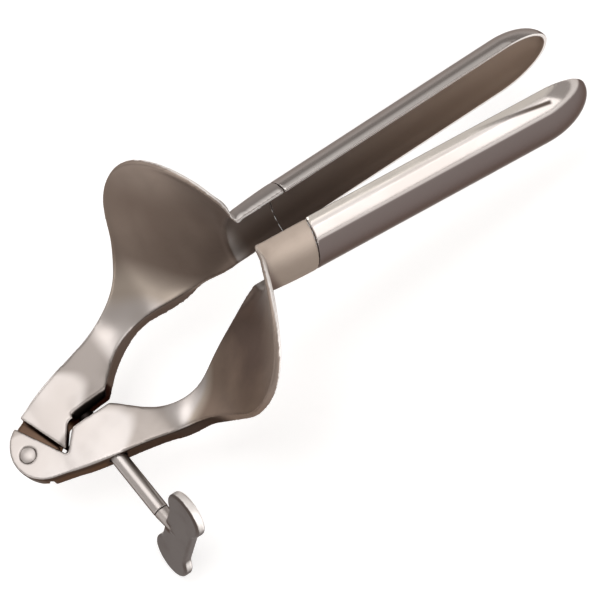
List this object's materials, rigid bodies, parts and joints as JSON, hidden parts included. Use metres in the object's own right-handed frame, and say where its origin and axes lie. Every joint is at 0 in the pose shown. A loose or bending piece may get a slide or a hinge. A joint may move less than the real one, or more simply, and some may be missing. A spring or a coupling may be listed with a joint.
{
  "type": "bivalve speculum",
  "caption": "Hinged two-valve instrument: slim trough blades with flared flanges on bent arms, a riveted lap joint and a wing screw that spreads them.",
  "frame": {"origin": "on the pivot axis, at the rear face of the lap joint that the instrument lies on", "axes": "+X from the lap joint towards the blades, +Y the way the upper valve opens, +Z along the pivot axis"},
  "size_m": [0.2034, 0.0984, 0.0703],
  "materials": {
    "upper_flange_arm": "satin polished steel",
    "upper_blade": "polished steel",
    "lower_flange_arm": "satin polished steel",
    "lower_blade": "polished steel",
    "pivot_rivet": "polished steel",
    "thumb_screw": "turned steel",
    "thumb_wing": "satin steel"
  },
  "bodies": {
    "lower_valve": {"lower_flange_arm": "lower_flange_arm", "lower_blade": "lower_blade", "pivot_rivet": "pivot_rivet"},
    "upper_valve": {"upper_flange_arm": "upper_flange_arm", "upper_blade": "upper_blade"},
    "screw_shank": {"thumb_screw": "thumb_screw"},
    "screw_wing": {"thumb_wing": "thumb_wing"}
  },
  "joints": [
    {"name": "valve_hinge", "type": "hinge", "parent": "lower_valve", "child": "upper_valve", "pos_m": [0, 0, 0.0036], "axis": [0, 0, 1], "range_deg": [-4.9, 22]},
    {"name": "screw_travel", "type": "slide", "parent": "lower_valve", "child": "screw_shank", "axis": [-0.0576, 0.9983, 0], "range_m": [-0.00174, 0.00779]},
    {"name": "wing_turn", "type": "hinge", "parent": "screw_shank", "child": "screw_wing", "pos_m": [0.02048, -0.00093, 0.0036], "axis": [-0.0576, 0.9983, 0], "range_deg": [-501, 2244]}
  ],
  "couplings": [
    {"joint": "screw_travel", "follows": "valve_hinge", "m_per_rad": 0.02028},
    {"joint": "wing_turn", "follows": "valve_hinge", "ratio": 101.94}
  ]
}
